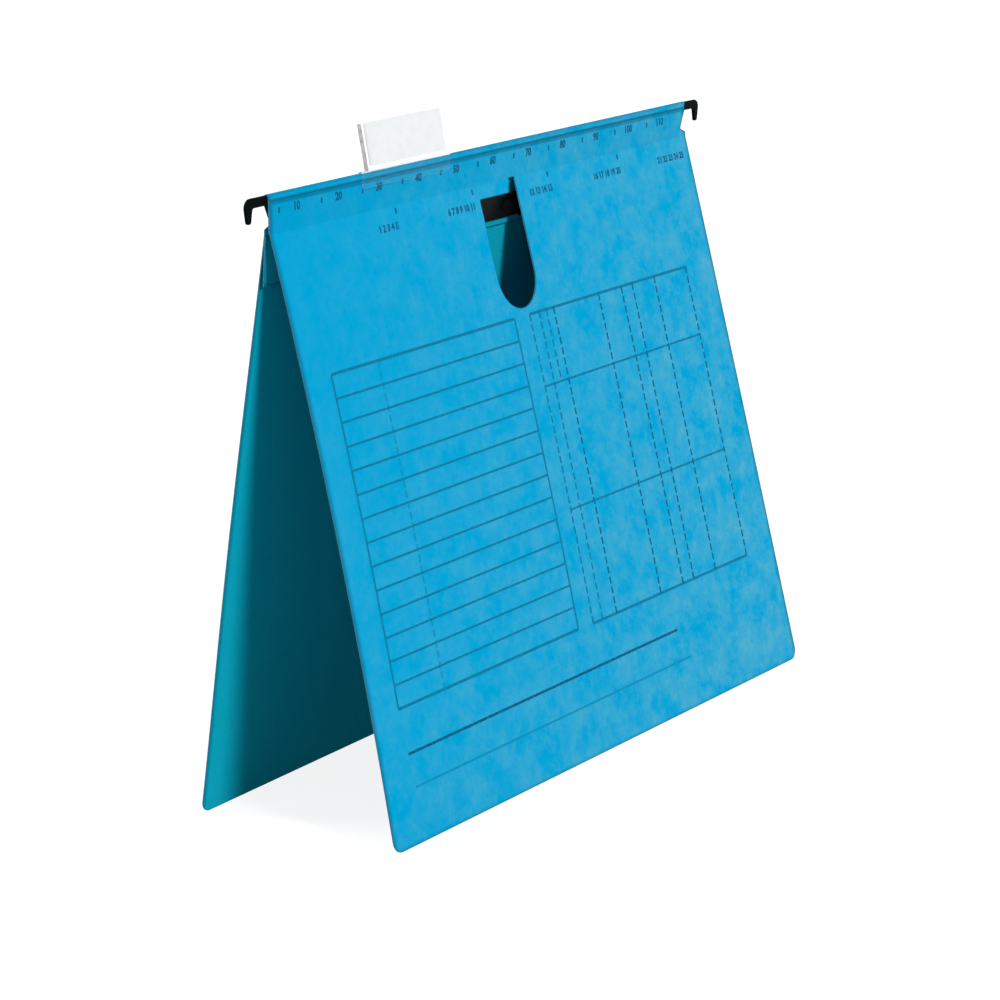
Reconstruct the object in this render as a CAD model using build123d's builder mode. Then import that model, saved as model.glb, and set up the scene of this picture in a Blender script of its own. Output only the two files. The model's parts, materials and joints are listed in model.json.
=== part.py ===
from build123d import *
import os
from math import cos, radians, sin

# Suspension binder for A4 sheets, standing open like a tent.
# X runs along the rail, the front cover faces -Y and Z is up, all in millimetres.
# The origin is on the floor, in the middle of the whole binder.

# Cover board
cover_width = 318.0
board = 0.45
margin_height = 15.3
seam_depth = 2.6
front_leaf_length = 241.7
front_lean = 13.8
back_lean = 8.6
leaf_corner_radius = 5.0
crease_bead_radius = 0.3
crease_clearance = 0.1

# Slanted notch of each cover's top margin, at its right end as seen from outside
notch_start = 0.6
notch_height = 10.8
notch_depth = 5.2
notch_heel = 2.1

# Thumb cut-out of the front leaf, with a slit that narrows from its right side up to the crease
cutout_width = 28.6
cutout_shift = -1.2
cutout_drop = 5.9
cutout_length = 47.0
slit_width = 6.9
slit_top_width = 4.2

# Flat steel rail, with dovetail keys for the hooks
rail_thickness = 1.4
rail_height = 9.5
sleeve_clearance = 0.1
key_length = 5.0
key_root_width = 3.0
key_end_width = 4.6
key_clearance = 0.05

# Moulded hook ends
hook_shank_length = 24.0
hook_reach = 13.6
hook_arm_height = 3.8
hook_top_drop = 0.3
hook_side_gap = 0.2
hook_root_reach = 2.5
hook_tip_height = 9.6
hook_tip_width = 4.3
hook_tip_end_width = 2.2
hook_shoulder_radius = 3.4
hook_throat_radius = 1.2
hook_tip_radius = 1.1

# Filing flap, glued along the crease of the back leaf
flap_length = 19.8
flap_start = 0.8
flap_glue_length = 4.2
flap_step_length = 2.4
punch_diameter = 6.0
punch_edge = 8.15

# Fastener with two folded tongues, a compressor bar and two slides
tongue_spacing = 80.0
tongue_thickness = 0.3
tongue_side_gap = 0.5
tongue_tip_gap = 16.0
tongue_tip_radius = 1.8
base_end = 8.0
base_edge = 0.75
seat_clearance = 0.05
stack_clearance = 0.1
bar_end = 14.0
bar_edge = 2.15
bar_thickness = 0.4
bar_corner_radius = 2.0
bar_foot_length = 5.0
slot_clearance = 0.6
slider_length = 7.0
slider_wall = 0.3
slider_place_share = 0.325

# Clear index tab and its label
tab_place = -65.3
tab_wall = 0.6
tab_clearance = 0.25
tab_front_lip = 6.2
tab_rear_lip = 6.0
tab_lean = 11.0
tab_end_wall = 0.8
clip_tail = 4.0
window_wall = 0.8
window_foot = 1.6
label_width = 54.0
label_height = 16.8
label_thickness = 0.25
label_inset = 1.85
label_clearance = 0.12

# A rounded corner takes at most this share of the wall that it is on
round_share = 0.45

# Cuts run past the faces that they open
overrun = 2.0

# Depths across the margin, from the middle of the rail outwards
half_width = cover_width / 2
sleeve_inner = rail_thickness / 2 + sleeve_clearance
sleeve_outer = sleeve_inner + board
margin_front = sleeve_outer + board
margin_end = margin_height - crease_bead_radius - crease_clearance

# Fastener: the tongues pass through the punched holes, in the middle of the strip and the bar
fastener_drop = flap_length - punch_edge
tongue_width = punch_diameter - 2 * tongue_side_gap
base_length = tongue_spacing + 2 * base_end
base_width = tongue_width + 2 * base_edge
slot_width = tongue_thickness + 2 * slot_clearance
slot_height = tongue_width + 2 * slot_clearance
bar_length = tongue_spacing + 2 * bar_end
bar_width = slot_height + 2 * bar_edge
slider_place = slider_place_share * tongue_spacing

# Depths through the fastener, from the outer face of the back leaf inwards
flap_back = board + tongue_thickness + seat_clearance
flap_front = flap_back + board
slider_back = flap_front + stack_clearance
bar_back = slider_back + slider_wall + stack_clearance
bar_front = bar_back + bar_thickness
tongue_back = bar_front + stack_clearance
tongue_front = tongue_back + tongue_thickness
slider_front = tongue_front + stack_clearance + slider_wall

# Index tab: the clip goes round the margin, and the window holds the label
tab_width = tab_end_wall + label_width + 2 * label_inset
pocket_gap = label_thickness + 2 * label_clearance
pocket_height = label_height + 2 * label_clearance
window_depth = pocket_gap + 2 * window_wall
window_height = window_foot + pocket_height + window_wall
clip_front = margin_front + tab_clearance
clip_rear = sleeve_outer + tab_clearance

# Places in the room: both leaves stand on the floor and the box is centred on the origin
front_sine = sin(radians(front_lean))
front_cosine = cos(radians(front_lean))
back_sine = sin(radians(back_lean))
back_cosine = cos(radians(back_lean))
tab_sine = sin(radians(tab_lean))
tab_cosine = cos(radians(tab_lean))
crease_z = front_leaf_length * front_cosine + board * front_sine
back_leaf_length = (crease_z - board * back_sine) / back_cosine
front_reach = margin_front + front_leaf_length * front_sine
back_reach = sleeve_outer + back_leaf_length * back_sine
rail_y = (front_reach - back_reach) / 2
top_z = crease_z + margin_height
front_crease_y = rail_y - margin_front
back_crease_y = rail_y + sleeve_outer

# Upright plane in the middle of the rail: Y goes up from the top fold, Z to the front
rail_plane = Plane(origin=(0, rail_y, top_z), x_dir=(1, 0, 0), z_dir=(0, -1, 0))
# The same plane at half the rail's height
rail_middle = Plane(
    origin=rail_plane.from_local_coords((0, -sleeve_outer - rail_height / 2, 0)),
    x_dir=(1, 0, 0),
    z_dir=(0, -1, 0),
)
# Outer face of the front leaf: Y goes up the leaf to its crease
front_plane = Plane(
    origin=(0, front_crease_y, crease_z),
    x_dir=(1, 0, 0),
    z_dir=(0, -front_cosine, front_sine),
)
# Outer face of the back leaf: Y goes down the leaf from its crease
back_plane = Plane(
    origin=(0, back_crease_y, crease_z),
    x_dir=(1, 0, 0),
    z_dir=(0, back_cosine, back_sine),
)
# Section across the back leaf: X goes down the leaf, Y outwards
back_section = Plane(origin=back_plane.origin, x_dir=back_plane.y_dir, z_dir=(1, 0, 0))
# Section along the fastener: X goes along the rail, Y inwards from the back leaf
tongue_section = Plane(
    origin=back_plane.from_local_coords((0, fastener_drop, 0)),
    x_dir=(1, 0, 0),
    z_dir=back_plane.y_dir,
)
# Section across the top fold at the tab: X goes to the back, Y up
tab_section = Plane(origin=(tab_place, rail_y, top_z), x_dir=(0, 1, 0), z_dir=(1, 0, 0))
# Middle of the tab's window, leaning back from the front of the clip
window_plane = Plane(
    origin=tab_section.from_local_coords(
        (window_depth / 2 - clip_front - tab_wall, tab_clearance + tab_wall / 2, 0)
    ),
    x_dir=(1, 0, 0),
    z_dir=(0, -tab_cosine, tab_sine),
)

os.makedirs("parts", exist_ok=True)


def notch_edge(drop):
    """Half length of the notched margin at a drop below the top fold."""
    return half_width - notch_depth * (drop - notch_start) / notch_height


def notch_face(side):
    """Face of the slanted notch at one end of the margin."""
    deep = notch_start + notch_height
    heel = deep + notch_heel
    outside = half_width + overrun
    with BuildSketch(rail_plane) as notch:
        with BuildLine():
            Polyline(
                (side * outside, -notch_start),
                (side * half_width, -notch_start),
                (side * notch_edge(deep), -deep),
                (side * half_width, -heel),
                (side * outside, -heel),
                close=True,
            )
        make_face()
    return notch.sketch


def key_face(side, clearance):
    """Face of the dovetail key that points outwards from one end of the rail."""
    root = half_width - hook_shank_length
    end = root + key_length + clearance
    half_root = key_root_width / 2 + clearance
    half_end = key_end_width / 2 + clearance
    with BuildSketch(rail_middle) as key:
        with BuildLine():
            Polyline(
                (side * root, -half_root),
                (side * end, -half_end),
                (side * end, half_end),
                (side * root, half_root),
                close=True,
            )
        make_face()
    return key.sketch


def leaf_bead(crease_y):
    """Round bead that the crease presses along the top of a leaf, on its hinge line."""
    with BuildSketch(Plane.YZ) as bead:
        with Locations((crease_y, crease_z)):
            Circle(crease_bead_radius)
    return bead.sketch


# Flat steel strip inside the fold, with a dovetail key at each end
with BuildPart() as suspension_rail:
    with BuildSketch(rail_middle):
        Rectangle(cover_width - 2 * hook_shank_length, rail_height)
    extrude(amount=rail_thickness / 2, both=True)
    for side in (-1, 1):
        extrude(key_face(side, 0), amount=rail_thickness / 2, both=True)
suspension_rail.part.label = "suspension_rail"
export_step(suspension_rail.part, "parts/suspension_rail.step")

# Hook ends: a shank that shows in the notch, an arm that leaves the cover and a tip that turns down
shank_start = half_width - hook_shank_length
shank_end = sleeve_outer + rail_height
arm_start = half_width + hook_side_gap
arm_end = hook_top_drop + hook_arm_height
tip_end = hook_top_drop + hook_tip_height
tip_outer = half_width + hook_reach
tip_inner = tip_outer - hook_tip_width
tip_end_inner = tip_inner + (hook_tip_width - hook_tip_end_width) / 2
shoulder_round = min(hook_shoulder_radius, 2 * round_share * hook_arm_height)
throat_round = min(hook_throat_radius, round_share * (hook_tip_height - hook_arm_height))
tip_round = min(hook_tip_radius, round_share * hook_tip_end_width)
for side, name in ((-1, "left_hook"), (1, "right_hook")):
    with BuildPart() as hook:
        with BuildSketch(rail_plane) as outline:
            with BuildLine():
                Polyline(
                    (side * shank_start, -sleeve_outer),
                    (side * arm_start, -sleeve_outer),
                    (side * arm_start, -hook_top_drop),
                    (side * tip_outer, -hook_top_drop),
                    (side * tip_outer, -arm_end),
                    (side * (tip_end_inner + hook_tip_end_width), -tip_end),
                    (side * tip_end_inner, -tip_end),
                    (side * tip_inner, -arm_end),
                    (side * (notch_edge(arm_end) + hook_root_reach), -arm_end),
                    (side * (notch_edge(shank_end) + hook_root_reach), -shank_end),
                    (side * shank_start, -shank_end),
                    close=True,
                )
            make_face()
            rounded = outline.vertices()
            fillet(rounded.sort_by_distance((side * tip_outer, -hook_top_drop))[0], shoulder_round)
            fillet(rounded.sort_by_distance((side * tip_inner, -arm_end))[0], throat_round)
            fillet(rounded.group_by(Axis.Y)[0], tip_round)
        extrude(amount=rail_thickness / 2, both=True)
        extrude(key_face(side, key_clearance), amount=rail_thickness, both=True, mode=Mode.SUBTRACT)
    hook.part.label = name
    export_step(hook.part, f"parts/{name}.step")

# Board folded over the rail, with both legs ending just above the creases
with BuildPart() as rail_sleeve:
    with BuildSketch(Plane.YZ):
        layers = ((sleeve_outer, Mode.ADD, 0), (sleeve_inner, Mode.SUBTRACT, overrun))
        for half, mode, past in layers:
            leg = margin_end - sleeve_outer + past
            with Locations((rail_y, top_z - sleeve_outer)):
                Circle(half, mode=mode)
            with Locations((rail_y, top_z - sleeve_outer - leg / 2)):
                Rectangle(2 * half, leg, mode=mode)
    extrude(amount=half_width, both=True)
    extrude(notch_face(1), amount=margin_front, mode=Mode.SUBTRACT)
    extrude(notch_face(-1), amount=-margin_front, mode=Mode.SUBTRACT)
rail_sleeve.part.label = "rail_sleeve"
export_step(rail_sleeve.part, "parts/rail_sleeve.step")

# Top margin of the front cover, glued on the sleeve up to a seam below the fold
with BuildPart() as front_margin:
    with BuildSketch(rail_plane.offset(sleeve_outer)):
        with Locations((0, -(seam_depth + margin_end) / 2)):
            Rectangle(cover_width, margin_end - seam_depth)
    extrude(amount=board)
    extrude(notch_face(1), amount=margin_front + overrun, mode=Mode.SUBTRACT)
front_margin.part.label = "front_margin"
export_step(front_margin.part, "parts/front_margin.step")

# Front leaf with its thumb cut-out, hinged on the crease bead
with BuildPart() as front_leaf:
    with BuildSketch(front_plane) as outline:
        with Locations((0, -front_leaf_length / 2)):
            Rectangle(cover_width, front_leaf_length)
        fillet(outline.vertices().group_by(Axis.Y)[0], leaf_corner_radius)
        straight = cutout_length - cutout_width / 2
        with Locations((cutout_shift, -cutout_drop - straight)):
            Circle(cutout_width / 2, mode=Mode.SUBTRACT)
        with Locations((cutout_shift, -cutout_drop - straight / 2)):
            Rectangle(cutout_width, straight, mode=Mode.SUBTRACT)
    extrude(amount=-board)
    extrude(leaf_bead(front_crease_y), amount=half_width, both=True)
    slit_right = cutout_shift + cutout_width / 2
    with BuildSketch(front_plane):
        with BuildLine():
            Polyline(
                (slit_right, overrun),
                (slit_right, -cutout_drop - overrun),
                (slit_right - slit_width, -cutout_drop - overrun),
                (slit_right - slit_width, -cutout_drop),
                (slit_right - slit_top_width, 0),
                (slit_right - slit_top_width, overrun),
                close=True,
            )
        make_face()
    extrude(amount=board + overrun, both=True, mode=Mode.SUBTRACT)
front_leaf.part.label = "front_leaf"
export_step(front_leaf.part, "parts/front_leaf.step")

# Back leaf, hinged on its own crease bead
with BuildPart() as back_leaf:
    with BuildSketch(back_plane) as outline:
        with Locations((0, back_leaf_length / 2)):
            Rectangle(cover_width, back_leaf_length)
        fillet(outline.vertices().group_by(Axis.Y)[-1], leaf_corner_radius)
    extrude(amount=-board)
    extrude(leaf_bead(back_crease_y), amount=half_width, both=True)
back_leaf.part.label = "back_leaf"
export_step(back_leaf.part, "parts/back_leaf.step")

# Filing flap: glued to the back leaf at its top, then stepped off it to make room for the fastener
with BuildPart() as filing_flap:
    glue_end = flap_start + flap_glue_length
    step_end = glue_end + flap_step_length
    with BuildSketch(back_section):
        with BuildLine():
            Polyline(
                (flap_start, -board),
                (glue_end, -board),
                (step_end, -flap_back),
                (flap_length, -flap_back),
                (flap_length, -flap_front),
                (step_end, -flap_front),
                (glue_end, -2 * board),
                (flap_start, -2 * board),
                close=True,
            )
        make_face()
    extrude(amount=half_width, both=True)
    with BuildSketch(back_plane):
        with Locations((-tongue_spacing / 2, fastener_drop), (tongue_spacing / 2, fastener_drop)):
            Circle(punch_diameter / 2)
    extrude(amount=-flap_front - overrun, mode=Mode.SUBTRACT)
filing_flap.part.label = "filing_flap"
export_step(filing_flap.part, "parts/filing_flap.step")

# Strip behind the flap, with two tongues that come through it and fold towards each other
with BuildPart() as fastener_base:
    with BuildSketch(back_plane.offset(-board)):
        with Locations((0, fastener_drop)):
            Rectangle(base_length, base_width)
    extrude(amount=-tongue_thickness)
    riser_outer = (tongue_spacing + tongue_thickness) / 2
    riser_inner = (tongue_spacing - tongue_thickness) / 2
    tongue_tip = tongue_tip_gap / 2
    for side in (-1, 1):
        with BuildSketch(tongue_section) as outline:
            with BuildLine():
                Polyline(
                    (side * riser_outer, board),
                    (side * riser_outer, tongue_front),
                    (side * tongue_tip, tongue_front),
                    (side * tongue_tip, tongue_back),
                    (side * riser_inner, tongue_back),
                    (side * riser_inner, board),
                    close=True,
                )
            make_face()
            bends = outline.vertices()
            fillet(bends.sort_by_distance((side * riser_outer, tongue_front))[0], 2 * tongue_thickness)
            fillet(bends.sort_by_distance((side * riser_inner, tongue_back))[0], tongue_thickness)
        extrude(amount=tongue_width / 2, both=True)
    upright_edges = fastener_base.edges().filter_by(Axis(back_plane.origin, back_plane.z_dir))
    tip_edges = upright_edges.sort_by(lambda edge: abs(edge.center().X))[:4]
    fillet(tip_edges, min(tongue_tip_radius, round_share * tongue_width))
fastener_base.part.label = "fastener_base"
export_step(fastener_base.part, "parts/fastener_base.step")

# Compressor bar with a slot for each tongue and a foot near each end
with BuildPart() as compressor_bar:
    bar_round = min(bar_corner_radius, round_share * bar_width)
    with BuildSketch(back_plane.offset(-bar_back)):
        with Locations((0, fastener_drop)):
            RectangleRounded(bar_length, bar_width, bar_round)
        with Locations((-tongue_spacing / 2, fastener_drop), (tongue_spacing / 2, fastener_drop)):
            Rectangle(slot_width, slot_height, mode=Mode.SUBTRACT)
    extrude(amount=-bar_thickness)
    foot_place = bar_length / 2 - bar_round - bar_foot_length / 2
    with BuildSketch(back_plane.offset(-flap_front)):
        with Locations((-foot_place, fastener_drop), (foot_place, fastener_drop)):
            Rectangle(bar_foot_length, bar_width)
    extrude(amount=flap_front - bar_back)
compressor_bar.part.label = "compressor_bar"
export_step(compressor_bar.part, "parts/compressor_bar.step")

# Slides: flat tubes that run along the bar and over the folded tongues
for side, name in ((-1, "left_slider"), (1, "right_slider")):
    with BuildPart() as slider:
        with BuildSketch(back_section.offset(side * slider_place)):
            with Locations((fastener_drop, -(slider_back + slider_front) / 2)):
                inner_width = bar_width + 2 * stack_clearance
                inner_depth = slider_front - slider_back - 2 * slider_wall
                Rectangle(inner_width + 2 * slider_wall, slider_front - slider_back)
                Rectangle(inner_width, inner_depth, mode=Mode.SUBTRACT)
        extrude(amount=slider_length / 2, both=True)
    slider.part.label = name
    export_step(slider.part, f"parts/{name}.step")

# Clear tab: a clip over the top margin, with a tail on the left, and a leaning window open on the right
with BuildPart() as tab_holder:
    with BuildSketch(tab_section.offset(-clip_tail / 2)):
        with BuildLine():
            Polyline(
                (-clip_front - tab_wall, -tab_front_lip),
                (-clip_front - tab_wall, tab_clearance + tab_wall),
                (clip_rear + tab_wall, tab_clearance + tab_wall),
                (clip_rear + tab_wall, -tab_rear_lip),
                (clip_rear, -tab_rear_lip),
                (clip_rear, tab_clearance),
                (-clip_front, tab_clearance),
                (-clip_front, -tab_front_lip),
                close=True,
            )
        make_face()
    extrude(amount=(tab_width + clip_tail) / 2, both=True)
    with BuildSketch(window_plane):
        with Locations((0, window_height / 2)):
            Rectangle(tab_width, window_height)
    extrude(amount=window_depth / 2, both=True)
    with BuildSketch(window_plane):
        with Locations(((tab_end_wall + overrun) / 2, window_foot + pocket_height / 2)):
            Rectangle(tab_width - tab_end_wall + overrun, pocket_height)
    extrude(amount=pocket_gap / 2, both=True, mode=Mode.SUBTRACT)
tab_holder.part.label = "tab_holder"
export_step(tab_holder.part, "parts/tab_holder.step")

# Label card in the tab's window
with BuildPart() as tab_label:
    with BuildSketch(window_plane):
        with Locations((tab_end_wall / 2, window_foot + pocket_height / 2)):
            Rectangle(label_width, label_height)
    extrude(amount=label_thickness / 2, both=True)
tab_label.part.label = "tab_label"
export_step(tab_label.part, "parts/tab_label.step")
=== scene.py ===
import json
from math import atan2, ceil, cos, pi, radians, sin, tan

import bmesh
import bpy
from bpy.props import FloatProperty, FloatVectorProperty, IntProperty, PointerProperty
from bpy.types import Operator, Panel, PropertyGroup
from mathutils import Matrix, Vector
from mathutils.geometry import delaunay_2d_cdt


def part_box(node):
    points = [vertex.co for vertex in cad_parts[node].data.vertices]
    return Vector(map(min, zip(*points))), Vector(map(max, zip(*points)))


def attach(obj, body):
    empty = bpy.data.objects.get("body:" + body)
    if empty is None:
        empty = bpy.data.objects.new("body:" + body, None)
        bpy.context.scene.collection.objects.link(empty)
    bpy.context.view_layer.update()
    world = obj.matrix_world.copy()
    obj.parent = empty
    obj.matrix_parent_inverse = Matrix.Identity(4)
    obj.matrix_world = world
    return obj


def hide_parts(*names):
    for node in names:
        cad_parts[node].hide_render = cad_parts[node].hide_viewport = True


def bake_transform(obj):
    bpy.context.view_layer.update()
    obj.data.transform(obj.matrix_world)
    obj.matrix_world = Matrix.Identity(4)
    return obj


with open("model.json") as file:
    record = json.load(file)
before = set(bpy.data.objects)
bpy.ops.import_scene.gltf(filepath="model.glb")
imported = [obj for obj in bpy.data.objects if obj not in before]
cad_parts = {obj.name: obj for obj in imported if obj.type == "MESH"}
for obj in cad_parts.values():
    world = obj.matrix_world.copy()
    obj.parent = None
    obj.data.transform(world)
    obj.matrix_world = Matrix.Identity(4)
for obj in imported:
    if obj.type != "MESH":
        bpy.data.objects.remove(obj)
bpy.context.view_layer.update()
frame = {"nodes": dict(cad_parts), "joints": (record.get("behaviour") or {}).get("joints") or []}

bl_info = {
    "name": "Hanging File Folder",
    "version": (1, 0, 0),
    "blender": (4, 5, 0),
    "location": "View3D > Sidebar > File Folder",
    "description": "Builds the boards, print, hooks, fastener, tab and stage of a hanging file folder",
    "category": "Object",
}

PLACE = "sheet_place"
BORDER = "sheet_border"
BORDER_WIDTH = 0.0005
ROW_GAP = 0.0004
MILLIMETRE = 0.001
CLOSE = 1e-5
WELD = 1e-7
FLAT_TURN = 0.01
EDGE_TURN = 0.6
FACING = 0.9
SHEET_ANGLE = 35
MOULD_ANGLE = 20
BLACK = (0.0008, 0.0016, 0.002)
WHITE = (1.0, 1.0, 1.0, 1.0)
INKS = ("line_ink", "faint_ink", "dark_ink")
GROUP_NUMBERS = ("1 2 3 4 5", "6 7 8 9 10 11", "12 13 14 15", "16 17 18 19 20", "21 22 23 24 25")


def joint_place(name):
    """Hinge line of a joint, as a point in the middle of the folder."""
    return Vector(next(joint["pos_m"] for joint in frame["joints"] if joint["name"] == name))


FRONT_CREASE = joint_place("front_hinge")
BACK_CREASE = joint_place("back_hinge")
SLEEVE_LOW, SLEEVE_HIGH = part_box("rail_sleeve")
MARGIN_LOW, MARGIN_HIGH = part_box("front_margin")
HALF_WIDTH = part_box("front_leaf")[1].x
TOP = SLEEVE_HIGH.z
RAIL_Y = (SLEEVE_LOW.y + SLEEVE_HIGH.y) / 2
FOLD_RADIUS = (SLEEVE_HIGH.y - SLEEVE_LOW.y) / 2
MARGIN_HEIGHT = TOP - FRONT_CREASE.z
SEAM_DROP = TOP - MARGIN_HIGH.z
SEAM = -(MARGIN_HEIGHT - FOLD_RADIUS + pi * FOLD_RADIUS) - (SEAM_DROP - FOLD_RADIUS)
CREST = -(MARGIN_HEIGHT - FOLD_RADIUS + pi * FOLD_RADIUS / 2)


# Settings


def length(name, description, default):
    """Setting for a length in metres."""
    return FloatProperty(name=name, description=description, default=default, unit="LENGTH", precision=5)


def lengths(name, description, default):
    """Setting for a row of lengths in metres."""
    return FloatVectorProperty(
        name=name, description=description, default=default, size=len(default), unit="LENGTH", precision=5)


def degrees(name, description, default):
    """Setting for an angle, given in degrees."""
    return FloatProperty(name=name, description=description, default=radians(default), subtype="ANGLE")


def colour(name, description, default):
    """Setting for a colour."""
    return FloatVectorProperty(name=name, description=description, default=default, subtype="COLOR")


def grey(name, description, default):
    """Setting for a grey colour."""
    return colour(name, description, (default,) * 3)


def lamp(name, description, default):
    """Setting for a lamp: its strength, and its turn, rise and spread in degrees."""
    described = "Strength of the " + description + ", and its turn, rise and spread in degrees"
    return FloatVectorProperty(name=name, description=described, default=default, size=len(default))


class BoardSettings(PropertyGroup):
    thickness: length("Thickness", "Thickness of the board", 0.00045)
    front_lean: degrees("Front lean", "Angle of the front leaf from upright", 13.8)
    back_lean: degrees("Back lean", "Angle of the back leaf from upright", 8.6)
    front_length: length("Front length", "Front leaf from its crease to its lower edge", 0.2417)
    back_length: length("Back length", "Back leaf from its crease to its lower edge", 0.237433)
    corner_radius: length("Corner radius", "Radius of the lower corners", 0.005)
    left_turn: length("Left turn", "How far the front leaf's lower left corner turns back", 0.0034)
    right_turn: length("Right turn", "How far the front leaf's lower right corner turns forward", 0.0042)
    left_bow: length("Left bow", "Forward bow of the front leaf's left edge", 0.0028)
    right_bow: length("Right bow", "Forward bow of the front leaf's right edge", 0.0003)
    back_bow: length("Back bow", "Backward bow of the back leaf", 0.001)
    crease_reach: length("Crease reach", "Half width of the strip that bends at a crease", 0.0006)
    mesh_step: length("Mesh step", "Spacing of the points on a sheet", 0.006)
    # painted shade: above and below the margin's seam, and along the side and lower edges
    seam_shade: length("Seam shade", "Height of the shade above the margin's seam", 0.0009)
    lip_shade_width: length("Lip width", "Width of the dark strip below the seam", 0.0011)
    lip_shade_end: length("Lip end", "End of that strip's faded edge", 0.0018)
    side_edge_shade: length("Side wear", "Width of the darker strip at the side edges", 0.0026)
    foot_edge_shade: length("Foot wear", "Width of the darker strip at the lower edge", 0.0016)
    colour: colour("Colour", "Colour of the board", (0.0, 0.36, 0.66))
    pale_colour: colour("Pale colour", "Colour of the paler clouds in the board", (0.08, 0.42, 0.61))
    fibre_colour: colour("Fibre colour", "Colour of the pale fibres", (0.005, 0.45, 0.74))
    # painted shade: the inner side's colours are a greener, less blue tint of the board's own colour,
    # standing in for the shade inside the folder
    inner_shade_colour: colour("Inner colour", "Colour of the inner side", (0.003, 0.385, 0.53))
    inner_pale_shade_colour: colour(
        "Inner pale colour", "Colour of the paler clouds on the inner side", (0.01, 0.42, 0.56))


class CutSettings(PropertyGroup):
    notch_start: length("Notch start", "Start of the notch below the top fold", 0.0006)
    notch_height: length("Notch height", "Height of the slanted side of the notch", 0.0108)
    notch_depth: length("Notch depth", "Depth of the notch into the margin", 0.0052)
    notch_heel: length("Notch heel", "Height of the lower side of the notch", 0.0021)
    notch_radius: length("Notch radius", "Radius in the depth of the notch", 0.0004)
    cutout_width: length("Cut-out width", "Width of the thumb cut-out", 0.0286)
    cutout_shift: length("Cut-out shift", "Middle of the cut-out from the folder's middle", -0.0012)
    cutout_drop: length("Cut-out drop", "Top of the cut-out below the crease", 0.0059)
    cutout_length: length("Cut-out length", "Height of the cut-out", 0.047)
    slit_width: length("Slit width", "Width of the slit where it meets the cut-out", 0.0069)
    slit_top_width: length("Slit top width", "Width of the slit at the crease", 0.0042)
    cutout_radius: length("Cut-out radius", "Radius of the cut-out's upper corner", 0.0008)
    slit_radius: length("Slit radius", "Radius where the slit meets the cut-out", 0.0006)
    slit_top_radius: length("Slit top radius", "Radius of the slit's upper corner", 0.0003)


class FlapSettings(PropertyGroup):
    start: length("Start", "Top edge of the flap below the crease", 0.0008)
    end: length("End", "Lower edge of the flap below the crease", 0.0198)
    glue_end: length("Glue end", "End of the glued strip below the crease", 0.005)
    step_end: length("Step end", "End of the bend below the crease", 0.0074)
    front_depth: length("Front depth", "Front of the flap from the back leaf's outer face", 0.00125)
    hole_spacing: length("Hole spacing", "Distance between the filing holes", 0.08)
    hole_diameter: length("Hole diameter", "Diameter of the filing holes", 0.006)
    hole_drop: length("Hole drop", "Middle of the filing holes below the crease", 0.01165)
    curl: length("Curl", "How far the flap's lower corners curl forward", 0.0012)
    flat_half: length("Flat half", "Half length of the flap's flat middle", 0.06)
    row_gap: length("Row gap", "Least gap between rows of points", 0.0005)


class FastenerSettings(PropertyGroup):
    bar_length: length("Bar length", "Length of the compressor bar", 0.108)
    bar_width: length("Bar width", "Width of the compressor bar", 0.0105)
    bar_back: length("Bar back", "Back of the bar from the back leaf's outer face", 0.00175)
    bar_thickness: length("Bar thickness", "Thickness of the bar", 0.0004)
    bar_radius: length("Bar radius", "Corner radius of the bar", 0.002)
    bar_edge: length("Bar edge", "Rounding of the bar's edges", 0.00012)
    foot_length: length("Foot length", "Length of the foot near each end of the bar", 0.005)
    foot_radius: length("Foot radius", "Corner radius of a foot", 0.0006)
    foot_edge: length("Foot edge", "Rounding of a foot's edges", 0.0001)
    slot_width: length("Slot width", "Width of a tongue slot", 0.0015)
    slot_height: length("Slot height", "Height of a tongue slot", 0.0062)
    slider_length: length("Slide length", "Length of a slide", 0.007)
    slider_place: length("Slide place", "Middle of a slide from the folder's middle", 0.026)
    slider_back: length("Slide back", "Back of a slide from the back leaf's outer face", 0.00135)
    slider_front: length("Slide front", "Front of a slide from the back leaf's outer face", 0.00295)
    slider_wall: length("Slide wall", "Wall of a slide", 0.0003)
    slider_clearance: length("Slide clearance", "Gap between a slide and the bar's edge", 0.0001)
    slider_radius: length("Slide radius", "Corner radius of a slide", 0.0004)
    slider_edge: length("Slide edge", "Rounding of a slide's edges", 0.00006)


class HookSettings(PropertyGroup):
    shank_length: length("Shank length", "Length of the shank in the sleeve", 0.024)
    shank_height: length("Shank height", "Height of the shank", 0.0095)
    reach: length("Reach", "How far the hook stands out of the cover", 0.0136)
    root_reach: length("Root reach", "How far the shank stands out of the notch", 0.0025)
    side_gap: length("Side gap", "Gap between the cover and the raised arm", 0.0002)
    top_drop: length("Top drop", "Top of the arm below the top fold", 0.0003)
    arm_height: length("Arm height", "Height of the arm", 0.0038)
    tip_height: length("Tip height", "Height of the hook from its top to its tip", 0.0096)
    tip_width: length("Tip width", "Width of the tip at the arm", 0.0043)
    tip_end_width: length("Tip end width", "Width of the tip at its end", 0.0022)
    thickness: length("Thickness", "Thickness of the hook", 0.0014)
    shoulder_radius: length("Shoulder radius", "Radius of the outer shoulder", 0.0034)
    throat_radius: length("Throat radius", "Radius inside the hook", 0.0012)
    tip_radius: length("Tip radius", "Radius of the tip", 0.00098)
    key_length: length("Key length", "Depth of the dovetail in the shank", 0.00505)
    key_root: length("Key root", "Width of the dovetail at its mouth", 0.0031)
    key_end: length("Key end", "Width of the dovetail at its end", 0.0047)
    edge: length("Edge", "Rounding of the edges", 0.0003)


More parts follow.
